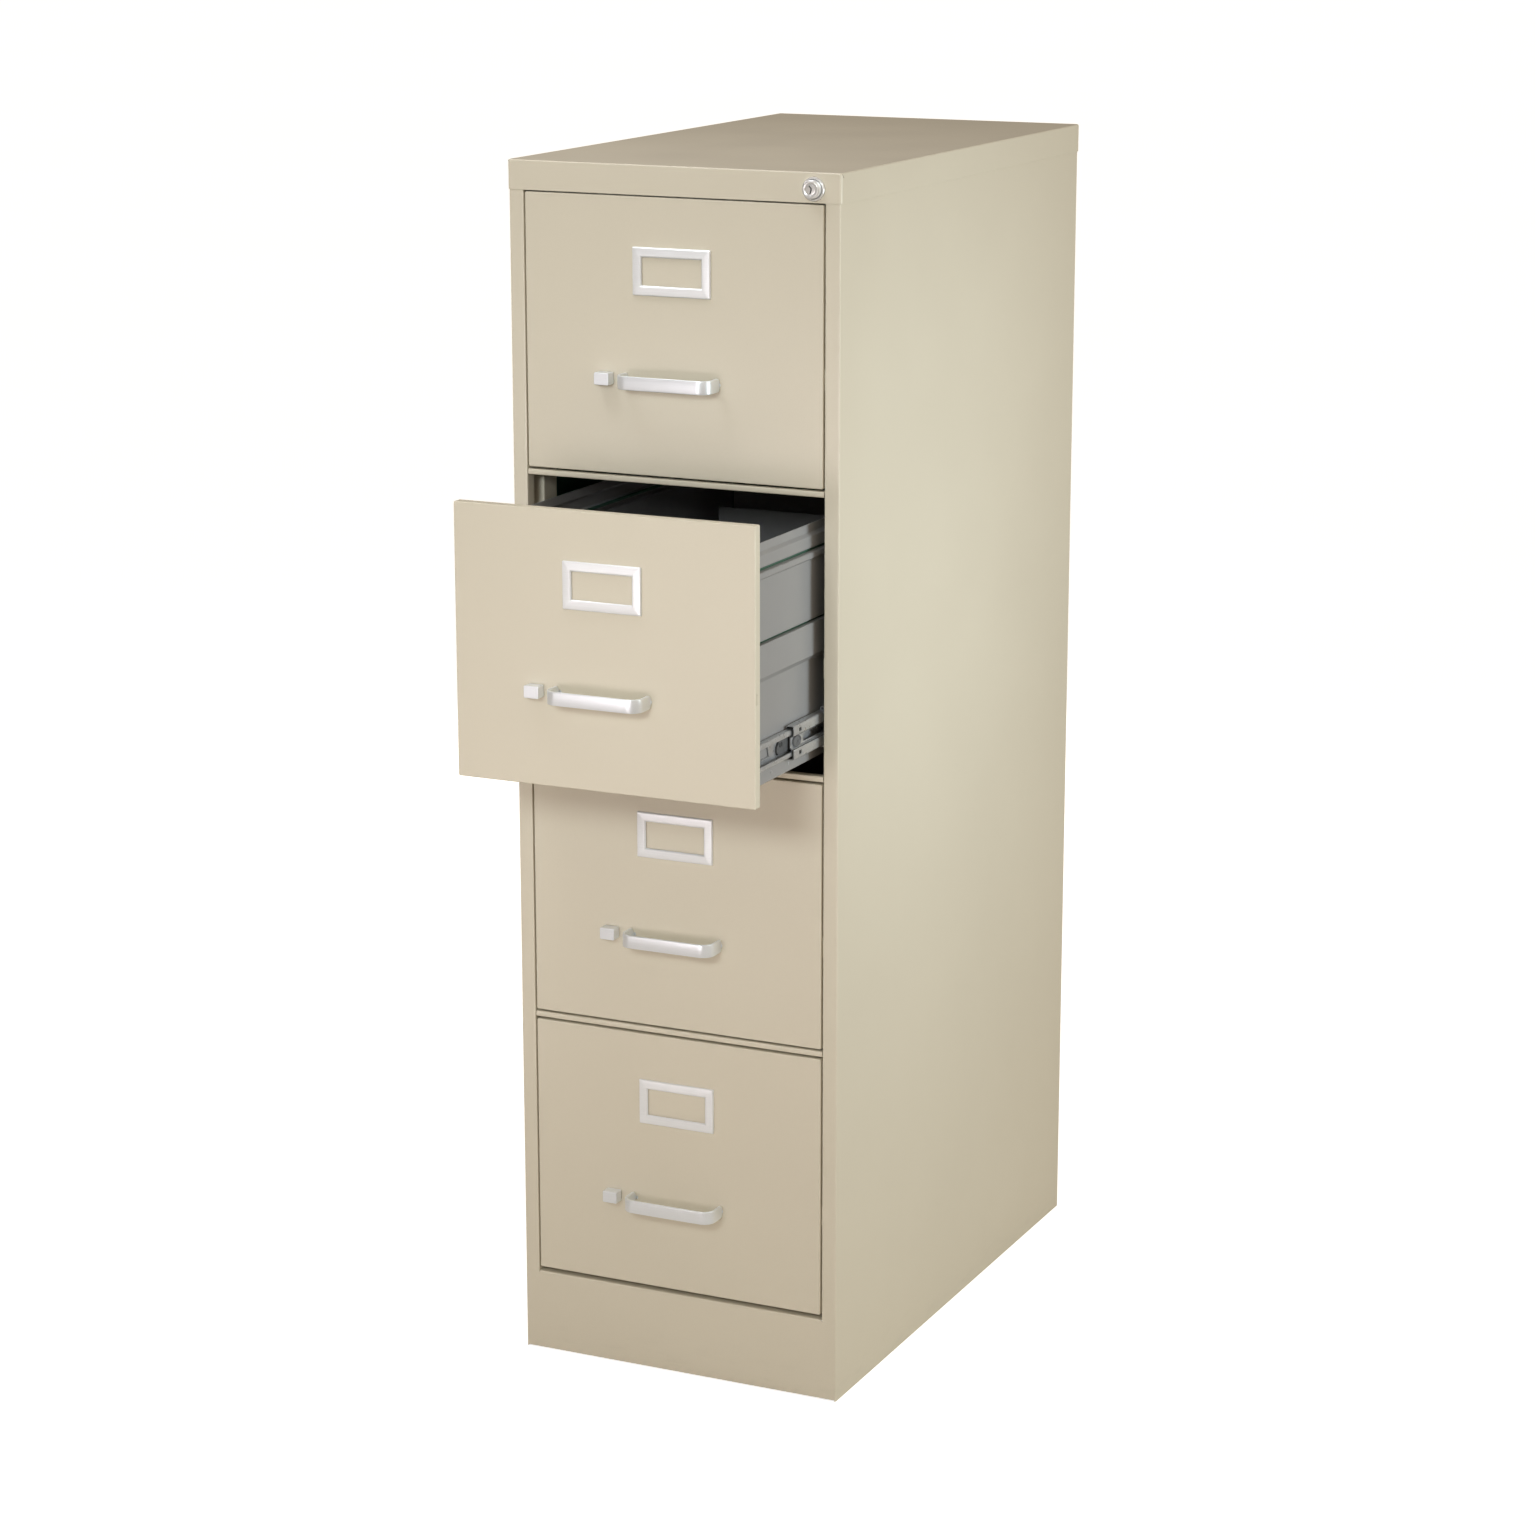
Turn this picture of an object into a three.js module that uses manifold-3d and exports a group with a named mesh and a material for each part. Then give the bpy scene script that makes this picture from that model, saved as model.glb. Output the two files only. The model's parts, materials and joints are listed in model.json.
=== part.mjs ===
// A four-drawer vertical filing cabinet in folded steel, letter size, its second drawer part open.
// Millimetres, +Z up. The drawers face -Y, and +X is on the right of someone facing them.
// The origin is on the floor, under the middle of the whole object as it stands at rest.
import * as THREE from "three";
import { mergeVertices } from "three/addons/utils/BufferGeometryUtils.js";
import Module from "manifold-3d";

const wasm = await Module();
wasm.setup();

// ---- Driving dimensions ----
const WIDTH = 381; // 15 in over the top cap
const DEPTH = 673.1; // 26.5 in over the top cap
const HEIGHT = 1320.8; // 52 in
const SHEET = 1.2; // steel sheet
const GAP = 0.3; // between pieces that touch
const SEAM = 0.1; // between sheets that meet edge to edge
const BEND = 2; // mid-line radius of a fold
const OVERLAP = 1; // how far pieces of one solid run into each other
const OVERCUT = 1; // how far a cutter runs past the face that it cuts
const TRIM = 10; // spare length, cut off with its bevel
const WELD = 1e-4; // vertices closer than this are one

// Facets: of a turned piece, a stud and a nut, and steps in a fold, a bevel and a drawn corner.
const ROUND_STEPS = 24;
const STUD_STEPS = 8;
const NUT_STEPS = 6;
const FOLD_STEPS = 2;
const BEVEL_STEPS = 2;
const CORNER_STEPS = 4;

const CAP_HEIGHT = 31.2;
const CAP_PROUD = 1; // the cap stands out past the sides
const CAP_EDGE = 1.8; // radius along the cap's top
const CAP_CORNER = 3; // radius of its upright corners
const FACE_Y = 0.4; // stiles, rails and drawer fronts stand this far behind the cap's front

const OPENING_HALF = 172.2; // half the width between the stiles
const STILE_RETURN = 14; // depth of the stile's return lip
const REAR_FLANGE = 17;
const FLOOR_FLANGE = 17;
// The strip along the top of each panel, set in so that the cap slides over it.
const JOGGLE = { inset: 0.7, up: 29.3, lap: 10, short: 4 };

const POST = { inner: 170.6, depth: 30, front: 34, rear: 566, bottom: 95, top: 1283 };
const KICK = { height: 90.4, shelf: 92.3, depth: 32, toe: 28, lip: 12, bottom: 1.5 };
const RAIL = { height: 6.4, depth: 28, lip: 6, setback: 0.6, bend: 1.2 };
const BACK_RIB = { x: 60, base: 12, crown: 6, depth: 4 };

const DRAWERS = 4;
const OPEN_DRAWER = 2; // counted from the top
const OPEN_BY = 162;
const PITCH = 300.5;
const LOWEST_FRONT = 97.2; // bottom edge of the lowest drawer front
const FRONT = { width: 341.6, height: 289.5, depth: 11, lip: 9, corner: 0.6, edge: 1.2 };

const TRAY = { half: 157, front: 11.3, rear: 636, floor: 14, lip: 30, backTop: 200, frontTop: 250 };
// The tray wall's section, as [outwards from the middle of its lower panel, height].
const WALL_SECTION = [
  [0, 20],
  [0, 122], // lower panel
  [5, 128],
  [5, 161.4], // proud band
  [-1.8, 161.4],
  [-1.8, 164.8], // groove
  [2.2, 164.8],
  [2.2, 228], // upper panel
  [4.8, 230],
  [4.8, 235], // bead
  [-1.2, 236],
  [-1.2, 239.5],
  [2.2, 240],
  [2.2, 252], // top band
  [-1.2, 255],
  [-1.2, 264], // rail that hanging folders hook over
];
const WALL_BEND = 1.2;
const TRAY_RAIL = { half: 14, front: 40, rear: 612, top: 18 }; // guide for the follower

const GRIP_Z = 100.3; // height of handle and latch above the bottom of their drawer front
const HANDLE = { half: 51.7, reach: 30, band: 14.4, thick: 3, corner: 17, cornerSteps: 6 };
const STUD = { radius: 2, front: -4, back: 7, nut: 4.6, nutThick: 3 };
const LATCH = { left: -85.5, width: 17.4, height: 13.2, reach: 13, travel: 5, stem: 6, edge: 0.9 };
const LATCH_BAR = { front: 3.2, back: 5.2, low: 84, high: 92, arm: 152, riser: 10 };
const TONGUE = { low: 108, high: 118, tip: 169.4 };
const STRIKE = { low: 102, high: 123, front: 4, back: 13, proud: 1.2 };
const LABEL = { width: 89.4, height: 50, thick: 2.6, drop: 51.5, edge: 0.8, corner: 1 };
const LABEL_RIM = 10.4;

const SLIDE = { z: 47, front: 18, length: 580, bend: 1.6 };
// Each slide member is a channel: where its web's middle lies, where its lips end, its half height.
const INNER = { web: 157.9, tip: 165, half: 13.9 };
const MIDDLE = { web: 167.4, tip: 159, half: 17.6 };
const OUTER = { web: 169.7, tip: 161, half: 21.1 };

const FOLLOWER = { half: 140, front: 560, flange: 13, low: 22, top: 195 };
const FOOT = { half: 40, depth: 55, z: 18.6, guide: 0.6, guideLow: 15.8, lap: 5 };
const GUSSET = { top: 120, depth: 49, x: 36 };

const LOCK = { x: 160.1, z: HEIGHT - 17, reach: 9.5, travel: 8 };
const BEZEL = { outer: 12.5, front: 2.6, edge: 1, bore: 9.6, barrel: 10.7, hole: 11, back: 24 };
const LOCK_NUT = { radius: 13, thick: 3 };
const PLUNGER = { outer: 9.3, bore: 5.8, back: 26, floor: 22, rim: 1.3 };
const PLUG = { radius: 5.5, back: 21.7, inset: 0.5, keyWidth: 1.7, keyHeight: 7.6, keyDepth: 15 };
const LOCK_BAR = { inner: 174.5, outer: 187, front: 18, back: 20.5, bottom: 130, top: 1300 };
const LOCK_ARM = { tip: 150, front: 36, back: 38.5, bottom: 1292, post: 178 };
const LOCK_LUG = { tip: 171.2, low: 148, high: 166 }; // above the bottom of each drawer front

// ---- Colours ----
const putty = { color: 0xd2cab6, roughness: 0.5, metalness: 0 };
const greyPaint = { color: 0x8f9092, roughness: 0.5, metalness: 0 };
const zinc = { color: 0xb9bcbf, roughness: 0.35, metalness: 0.9 };
const satinAluminium = { color: 0xd9dcdf, roughness: 0.3, metalness: 0.9 };
const chrome = { color: 0xe2e2e2, roughness: 0.1, metalness: 1 };
const darkSteel = { color: 0x4a4d50, roughness: 0.5, metalness: 0.7 };

// ---- Solids ----
function solidOf(geometry) {
  const plain = geometry.index ? geometry.toNonIndexed() : geometry;
  plain.deleteAttribute("normal");
  plain.deleteAttribute("uv");
  const merged = mergeVertices(plain, WELD);
  const mesh = new wasm.Mesh({
    numProp: 3,
    vertProperties: new Float32Array(merged.attributes.position.array),
    triVerts: new Uint32Array(merged.index.array),
  });
  return new wasm.Manifold(mesh);
}

function geometryOf(solid) {
  const mesh = solid.getMesh();
  const geometry = new THREE.BufferGeometry();
  geometry.setAttribute("position", new THREE.BufferAttribute(mesh.vertProperties, 3));
  geometry.setIndex(new THREE.BufferAttribute(mesh.triVerts, 1));
  return geometry;
}

function mirroredX(solid) {
  const geometry = geometryOf(solid).toNonIndexed();
  geometry.applyMatrix4(new THREE.Matrix4().makeScale(-1, 1, 1));
  const flipped = [];
  for (let i = 0; i < geometry.attributes.position.count; i += 3) flipped.push(i, i + 2, i + 1);
  geometry.setIndex(flipped);
  return solidOf(geometry);
}

const joined = (first, ...rest) => rest.reduce((all, solid) => all.add(solid), first);
const cut = (first, ...rest) => rest.reduce((left, solid) => left.subtract(solid), first);

function box([x0, x1], [y0, y1], [z0, z1]) {
  const geometry = new THREE.BoxGeometry(Math.abs(x1 - x0), Math.abs(y1 - y0), Math.abs(z1 - z0));
  geometry.translate((x0 + x1) / 2, (y0 + y1) / 2, (z0 + z1) / 2);
  return solidOf(geometry);
}

// Frames that carry a drawn outline (u, v) onto the part, with the direction it is extruded in.
const X_AXIS = new THREE.Vector3(1, 0, 0);
const Y_AXIS = new THREE.Vector3(0, 1, 0);
const Z_AXIS = new THREE.Vector3(0, 0, 1);
const PLANES = {
  x: new THREE.Matrix4().makeBasis(Y_AXIS, Z_AXIS, X_AXIS), // u = Y, v = Z, along X
  y: new THREE.Matrix4().makeBasis(X_AXIS, Z_AXIS, Y_AXIS.clone().negate()), // u = X, v = Z
  z: new THREE.Matrix4(), // u = X, v = Y, along Z
};

function prism(shape, axis, [from, to], bevel = 0) {
  const depth = to - from - 2 * bevel;
  const geometry = new THREE.ExtrudeGeometry(shape, {
    depth,
    curveSegments: CORNER_STEPS,
    bevelEnabled: bevel > 0,
    bevelThickness: bevel,
    bevelSize: bevel,
    bevelOffset: -bevel,
    bevelSegments: BEVEL_STEPS,
  });
  geometry.translate(0, 0, axis === "y" ? -to + bevel : from + bevel);
  return solidOf(geometry.applyMatrix4(PLANES[axis]));
}

const shapeOf = (points) => new THREE.Shape(points.map(([u, v]) => new THREE.Vector2(u, v)));

// A path with each inner corner turned into an arc of the given radius.
function roundedPath(points, radius, steps) {
  const path = [points[0]];
  for (let i = 1; i < points.length - 1; i++) {
    const corner = new THREE.Vector2(...points[i]);
    const back = new THREE.Vector2(...points[i - 1]).sub(corner);
    const ahead = new THREE.Vector2(...points[i + 1]).sub(corner);
    const turn = Math.acos(back.dot(ahead) / back.length() / ahead.length());
    const reach = Math.min(radius / Math.tan(turn / 2), back.length() / 2, ahead.length() / 2);
    const start = corner.clone().add(back.setLength(reach));
    const end = corner.clone().add(ahead.setLength(reach));
    const arc = new THREE.QuadraticBezierCurve(start, corner, end);
    path.push(...arc.getPoints(steps).map((p) => [p.x, p.y]));
  }
  path.push(points[points.length - 1]);
  return path;
}

// The outline of a sheet folded along a mid-line path.
function folded(points, radius = BEND, thickness = SHEET, steps = FOLD_STEPS) {
  const path = roundedPath(points, radius, steps).map(([u, v]) => new THREE.Vector2(u, v));
  const sides = [[], []];
  path.forEach((point, i) => {
    const before = point.clone().sub(path[Math.max(i - 1, 0)]).normalize();
    const after = path[Math.min(i + 1, path.length - 1)].clone().sub(point).normalize();
    const along = before.clone().add(after).normalize();
    const widen = i > 0 && i < path.length - 1 ? 1 / along.dot(after) : 1;
    const across = new THREE.Vector2(-along.y, along.x).multiplyScalar((thickness / 2) * widen);
    sides[0].push(point.clone().add(across));
    sides[1].unshift(point.clone().sub(across));
  });
  const outline = [...sides[0], ...sides[1]];
  return new THREE.Shape(THREE.ShapeUtils.isClockWise(outline) ? outline.reverse() : outline);
}

function roundedRectangle(width, height, radius) {
  const [u, v] = [width / 2, height / 2];
  const shape = new THREE.Shape();
  shape.moveTo(-u + radius, -v);
  shape.lineTo(u - radius, -v);
  shape.absarc(u - radius, -v + radius, radius, -Math.PI / 2, 0);
  shape.lineTo(u, v - radius);
  shape.absarc(u - radius, v - radius, radius, 0, Math.PI / 2);
  shape.lineTo(-u + radius, v);
  shape.absarc(-u + radius, v - radius, radius, Math.PI / 2, Math.PI);
  shape.lineTo(-u, -v + radius);
  shape.absarc(-u + radius, -v + radius, radius, Math.PI, 1.5 * Math.PI);
  return shape;
}

// A piece turned about the axis along Y through (x, z), from a profile of [radius, y] points.
function turned(profile, x, z, steps = ROUND_STEPS) {
  const points = profile.map(([radius, y]) => new THREE.Vector2(radius, y));
  const solid = solidOf(new THREE.LatheGeometry(points, steps).translate(x, 0, z));
  return solid.volume() < 0 ? turned([...profile].reverse(), x, z, steps) : solid;
}

const cylinder = (radius, x, z, [from, to], steps) =>
  turned([[0, from], [radius, from], [radius, to], [0, to]], x, z, steps);

const bottomOfDrawer = (number) => LOWEST_FRONT + PITCH * (DRAWERS - number);

// ---- The carcass ----
const SIDE_X = WIDTH / 2 - CAP_PROUD;
const WALL_MID = SIDE_X - SHEET / 2;
const CAP_BOTTOM = HEIGHT - CAP_HEIGHT;
const PANEL_TOP = CAP_BOTTOM - SEAM;
const FRONT_MID = FACE_Y + SHEET / 2;
const REAR_MID = DEPTH - CAP_PROUD - SHEET / 2;
const STILE_MID = OPENING_HALF + SHEET / 2;

function post(front) {
  const inside = POST.inner + SHEET / 2;
  const [near, far] = [front + SHEET / 2, front + POST.depth - SHEET / 2];
  const channel = [[WALL_MID, near], [inside, near], [inside, far], [WALL_MID, far]];
  return prism(folded(channel), "z", [POST.bottom, POST.top]);
}

function sidePanel() {
  const plan = [
    [STILE_MID, FACE_Y + STILE_RETURN],
    [STILE_MID, FRONT_MID],
    [WALL_MID, FRONT_MID],
    [WALL_MID, REAR_MID],
    [WALL_MID - REAR_FLANGE, REAR_MID],
  ];
  const wallInside = SIDE_X - SHEET;
  const covered = [wallInside - JOGGLE.inset, SIDE_X - JOGGLE.inset];
  const coveredLength = [FACE_Y + JOGGLE.short, REAR_MID - JOGGLE.short];
  const toeRoom = [OPENING_HALF - OVERCUT, wallInside - GAP];
  const floorFlange = [wallInside - FLOOR_FLANGE, WALL_MID];
  return joined(
    cut(
      prism(folded(plan), "z", [0, PANEL_TOP]),
      box(toeRoom, [0, KICK.depth + SHEET], [-OVERCUT, KICK.height + SEAM]),
    ),
    box(covered, coveredLength, [PANEL_TOP - JOGGLE.lap, PANEL_TOP + JOGGLE.up]),
    box(floorFlange, [POST.front + POST.depth, POST.rear], [0, SHEET]),
    post(POST.front),
    post(POST.rear),
  );
}

function strikeTab(number) {
  const z = bottomOfDrawer(number);
  const across = [OPENING_HALF - STRIKE.proud, STILE_MID];
  return box(across, [STRIKE.front, STRIKE.back], [z + STRIKE.low, z + STRIKE.high]);
}

function topCap() {
  const plan = roundedRectangle(WIDTH, DEPTH, CAP_CORNER);
  const inner = roundedRectangle(WIDTH - 2 * SHEET, DEPTH - 2 * SHEET, CAP_CORNER - SHEET);
  const tray = cut(
    prism(plan, "z", [CAP_BOTTOM - TRIM, HEIGHT], CAP_EDGE),
    box([-WIDTH, WIDTH], [-DEPTH, DEPTH], [CAP_BOTTOM - TRIM - OVERCUT, CAP_BOTTOM]),
    prism(inner, "z", [CAP_BOTTOM - OVERCUT, HEIGHT - SHEET]),
  );
  const placed = solidOf(geometryOf(tray).translate(0, DEPTH / 2, 0));
  const lockHole = [-OVERCUT, SHEET + OVERCUT];
  return cut(placed, cylinder(BEZEL.hole, LOCK.x, LOCK.z, lockHole, ROUND_STEPS));
}

function backPanel() {
  const y = REAR_MID - SHEET - GAP;
  const half = SIDE_X - SHEET - GAP - GAP;
  const rib = (x) => [
    [x - BACK_RIB.base, y],
    [x - BACK_RIB.crown, y - BACK_RIB.depth],
    [x + BACK_RIB.crown, y - BACK_RIB.depth],
    [x + BACK_RIB.base, y],
  ];
  const plan = [[-half, y], ...rib(-BACK_RIB.x), ...rib(BACK_RIB.x), [half, y]];
  const panel = prism(folded(plan), "z", [KICK.bottom, PANEL_TOP]);
  const coveredHalf = half - JOGGLE.inset;
  const coveredHeight = [PANEL_TOP - JOGGLE.lap, PANEL_TOP + JOGGLE.up];
  return joined(
    panel,
    box([-coveredHalf, coveredHalf], [y - SHEET / 2, y + SHEET / 2], coveredHeight),
  );
}

function kickPlate() {
  const back = FACE_Y + KICK.depth;
  const shelf = KICK.shelf - SHEET / 2;
  const foot = KICK.bottom + SHEET / 2;
  const section = [
    [FACE_Y + KICK.toe, foot],
    [FRONT_MID, foot],
    [FRONT_MID, shelf],
    [back, shelf],
    [back, shelf - KICK.lip],
  ];
  const half = OPENING_HALF - GAP;
  const end = SIDE_X - SHEET - GAP - SEAM;
  return joined(
    prism(folded(section), "x", [-half, half]),
    box([-end, end], [FACE_Y, FACE_Y + SHEET], [KICK.bottom, KICK.height]),
  );
}

function frontRail(upperDrawer) {
  const middle = bottomOfDrawer(upperDrawer) - (PITCH - FRONT.height) / 2;
  const [low, high] = [middle - (RAIL.height - SHEET) / 2, middle + (RAIL.height - SHEET) / 2];
  const front = FACE_Y + RAIL.setback + SHEET / 2;
  const back = front + RAIL.depth;
  const half = OPENING_HALF - GAP;
  const section = [[back, low], [front, low], [front, high], [front + RAIL.lip, high]];
  return prism(folded(section, RAIL.bend), "x", [-half, half]);
}

// ---- The slides, right-hand ----
function slideMember({ web, tip, half }) {
  const [low, high] = [SLIDE.z - half, SLIDE.z + half];
  const section = folded([[tip, low], [web, low], [web, high], [tip, high]], SLIDE.bend);
  return prism(section, "y", [SLIDE.front, SLIDE.front + SLIDE.length]);
}

// ---- A drawer, standing on the bottom edge of its front, its face in the plane y = 0 ----
function drawerFront() {
  const { width, height, depth, lip, corner, edge } = FRONT;
  const block = prism(roundedRectangle(width, height, corner + edge), "y", [0, depth + TRIM], edge);
  const inside = width / 2 - SHEET;
  const behindLip = inside - lip;
  const hollow = [SHEET, height - SHEET];
  const mouth = [SHEET + lip, height - SHEET - lip];
  const shell = cut(
    solidOf(geometryOf(block).translate(0, 0, height / 2)),
    box([-width, width], [depth, depth + TRIM + OVERCUT], [-OVERCUT, height + OVERCUT]),
    box([-inside, inside], [SHEET, depth - SHEET], hollow),
    box([-behindLip, behindLip], [SHEET, depth + OVERCUT], mouth),
  );
  const [left, right] = latchStem();
  const stemHalf = LATCH.stem / 2 + GAP;
  const throughFace = [-OVERCUT, SHEET + OVERCUT];
  const tongueWay = [LATCH_BAR.front - GAP, LATCH_BAR.back + GAP];
  return cut(
    shell,
    box([left - LATCH.travel - GAP, right + GAP], throughFace, [GRIP_Z - stemHalf, GRIP_Z + stemHalf]),
    box([inside - OVERCUT, width / 2 + OVERCUT], tongueWay, [TONGUE.low - GAP, TONGUE.high + GAP]),
    ...studPlaces().map((x) => cylinder(STUD.radius + GAP, x, GRIP_Z, throughFace, STUD_STEPS)),
  );
}

// The tray's right side, with its band, groove, bead and hanging rail rolled in.
function traySide() {
  const middle = TRAY.half - SHEET / 2;
  const section = WALL_SECTION.map(([out, z]) => [middle + out, z]);
  return prism(folded(section, WALL_BEND), "y", [TRAY.front, TRAY.rear]);
}

function drawerTray() {
  const wall = TRAY.half - SHEET / 2;
  const floor = TRAY.floor + SHEET / 2;
  const pan = folded([[-wall, TRAY.lip], [-wall, floor], [wall, floor], [wall, TRAY.lip]]);
  const side = traySide();
  const across = [-TRAY.half + GAP, TRAY.half - GAP];
  return joined(
    prism(pan, "y", [TRAY.front, TRAY.rear]),
    side,
    mirroredX(side),
    box(across, [TRAY.front, TRAY.front + SHEET], [floor, TRAY.frontTop]),
    box(across, [TRAY.rear - SHEET, TRAY.rear], [floor, TRAY.backTop]),
    box(
      [-TRAY_RAIL.half, TRAY_RAIL.half],
      [TRAY_RAIL.front, TRAY_RAIL.rear],
      [floor, TRAY_RAIL.top],
    ),
  );
}

const studPlaces = () => [-1, 1].map((side) => side * (HANDLE.half - HANDLE.thick / 2));

function handle() {
  const { half, reach, band, thick, corner, cornerSteps } = HANDLE;
  const mid = half - thick / 2;
  const front = -reach + thick / 2;
  const path = [[-mid, -GAP], [-mid, front], [mid, front], [mid, -GAP]];
  const nut = [SHEET + GAP, SHEET + GAP + STUD.nutThick];
  const fasteners = studPlaces().flatMap((x) => [
    cylinder(STUD.radius, x, GRIP_Z, [STUD.front, STUD.back], STUD_STEPS),
    cylinder(STUD.nut, x, GRIP_Z, nut, NUT_STEPS),
  ]);
  const bow = folded(path, corner, thick, cornerSteps);
  return joined(prism(bow, "z", [GRIP_Z - band / 2, GRIP_Z + band / 2]), ...fasteners);
}

function latchStem() {
  const middle = LATCH.left + LATCH.width - LATCH.stem;
  return [middle - LATCH.stem / 2, middle + LATCH.stem / 2];
}

function latch() {
  const { front, back, low, high, arm, riser } = LATCH_BAR;
  const stem = latchStem();
  const face = roundedRectangle(LATCH.width, LATCH.height, 2 * LATCH.edge);
  const block = prism(face, "y", [-LATCH.reach, -GAP], LATCH.edge);
  const [stemLow, stemHigh] = [GRIP_Z - LATCH.stem / 2, GRIP_Z + LATCH.stem / 2];
  return joined(
    solidOf(geometryOf(block).translate(LATCH.left + LATCH.width / 2, 0, GRIP_Z)),
    box(stem, [-LATCH.reach / 2, back], [stemLow, stemHigh]),
    box(stem, [front, back], [low, stemHigh]),
    box([stem[0], arm], [front, back], [low, high]),
    box([arm - riser, arm], [front, back], [low, TONGUE.high]),
    box([arm - OVERLAP, TONGUE.tip], [front, back], [TONGUE.low, TONGUE.high]),
  );
}

function labelFrame() {
  const { width, height, thick, drop, edge, corner } = LABEL;
  const middle = FRONT.height - drop - height / 2;
  const plate = prism(roundedRectangle(width, height, corner), "y", [-thick - GAP, -GAP], edge);
  const [u, v] = [width / 2 - LABEL_RIM, height / 2 - LABEL_RIM];
  return cut(
    solidOf(geometryOf(plate).translate(0, 0, middle)),
    box([-u, u], [-thick - GAP - OVERCUT, OVERCUT], [middle - v, middle + v]),
  );
}

function follower() {
  const { half, front, flange, low, top } = FOLLOWER;
  const plan = [[-half, front + flange], [-half, front], [half, front], [half, front + flange]];
  const plate = [front - SHEET / 2, front + SHEET / 2];
  const foot = [front - SHEET / 2, front + FOOT.depth];
  const guide = TRAY_RAIL.half + FOOT.guide;
  const guideHeight = [FOOT.guideLow, FOOT.z + SHEET];
  const gusset = shapeOf([[front, FOOT.z], [front + GUSSET.depth, FOOT.z], [front, GUSSET.top]]);
  const pair = [-1, 1];
  return joined(
    prism(folded(plan), "z", [low, top]),
    box([-FOOT.half, FOOT.half], foot, [FOOT.z, FOOT.z + SHEET]),
    box([-FOOT.half, FOOT.half], plate, [FOOT.z, low + FOOT.lap]),
    ...pair.map((s) => box([s * guide, s * (guide + SHEET)], foot, guideHeight)),
    ...pair.map((s) => prism(gusset, "x", [s * GUSSET.x - SHEET / 2, s * GUSSET.x + SHEET / 2])),
  );
}

// ---- The lock ----
function lockHousing() {
  const { outer, front, edge, bore, barrel, back } = BEZEL;
  const nutFront = SHEET + GAP;
  const nutBack = nutFront + LOCK_NUT.thick;
  const profile = [
    [bore, -front],
    [outer - edge, -front],
    [outer, -front + edge],
    [outer, -GAP],
    [barrel, -GAP],
    [barrel, nutFront],
    [LOCK_NUT.radius, nutFront],
    [LOCK_NUT.radius, nutBack],
    [barrel, nutBack],
    [barrel, back],
    [bore, back],
    [bore, -front],
  ];
  return turned(profile, LOCK.x, LOCK.z);
}

function lockPlunger() {
  const { outer, bore, back, floor, rim } = PLUNGER;
  const front = -LOCK.reach;
  const profile = [
    [0, back],
    [outer, back],
    [outer, front + rim],
    [outer - rim, front],
    [bore, front],
    [bore, floor],
    [0, floor],
  ];
  return turned(profile, LOCK.x, LOCK.z);
}

function keyPlug() {
  const front = -LOCK.reach + PLUG.inset;
  const keyway = box(
    [LOCK.x - PLUG.keyWidth / 2, LOCK.x + PLUG.keyWidth / 2],
    [front - OVERCUT, front + PLUG.keyDepth],
    [LOCK.z - PLUG.keyHeight / 2, LOCK.z + PLUG.keyHeight / 2],
  );
  return cut(cylinder(PLUG.radius, LOCK.x, LOCK.z, [front, PLUG.back], ROUND_STEPS), keyway);
}

function lockBar() {
  const { inner, outer, front, back, bottom, top } = LOCK_BAR;
  const lugs = [];
  for (let number = 1; number <= DRAWERS; number++) {
    const z = bottomOfDrawer(number);
    const lug = [z + LOCK_LUG.low, z + LOCK_LUG.high];
    lugs.push(box([LOCK_LUG.tip, inner + OVERLAP], [front, back], lug));
  }
  return joined(
    box([inner, outer], [front, back], [bottom, top]),
    box([LOCK_ARM.post, outer], [front, LOCK_ARM.back], [LOCK_ARM.bottom, top]),
    box([LOCK_ARM.tip, outer], [LOCK_ARM.front, LOCK_ARM.back], [LOCK_ARM.bottom, top]),
    ...lugs,
  );
}

// ---- The assembly ----
const cabinet = new THREE.Group();
cabinet.position.y = -(DEPTH + FACE_Y - OPEN_BY - HANDLE.reach) / 2;

function place(group, name, solid, finish) {
  const mesh = new THREE.Mesh(geometryOf(solid), new THREE.MeshStandardMaterial(finish));
  mesh.name = name;
  group.add(mesh);
}

const plainSide = sidePanel();
const strikes = Array.from({ length: DRAWERS }, (_, i) => strikeTab(i + 1));
place(cabinet, "left_side_panel", mirroredX(plainSide), putty);
place(cabinet, "right_side_panel", joined(plainSide, ...strikes), putty);
place(cabinet, "top_panel", topCap(), putty);
place(cabinet, "back_panel", backPanel(), putty);
place(cabinet, "base_kick_plate", kickPlate(), putty);
for (let number = 1; number < DRAWERS; number++) {
  place(cabinet, `front_rail_${number}`, frontRail(number), putty);
}
place(cabinet, "lock_housing", lockHousing(), chrome);
place(cabinet, "lock_plunger", lockPlunger(), chrome);
place(cabinet, "lock_key_plug", keyPlug(), chrome);
place(cabinet, "lock_bar", lockBar(), darkSteel);

const drawerPieces = [
  ["front", drawerFront(), putty],
  ["tray", drawerTray(), greyPaint],
  ["handle", handle(), satinAluminium],
  ["latch", latch(), satinAluminium],
  ["label_frame", labelFrame(), satinAluminium],
  ["follower", follower(), greyPaint],
];
const slideMembers = {
  inner: slideMember(INNER),
  middle: slideMember(MIDDLE),
  outer: slideMember(OUTER),
};
const slideShare = { inner: 1, middle: 0.5, outer: 0 }; // how far each member follows the drawer

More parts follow.
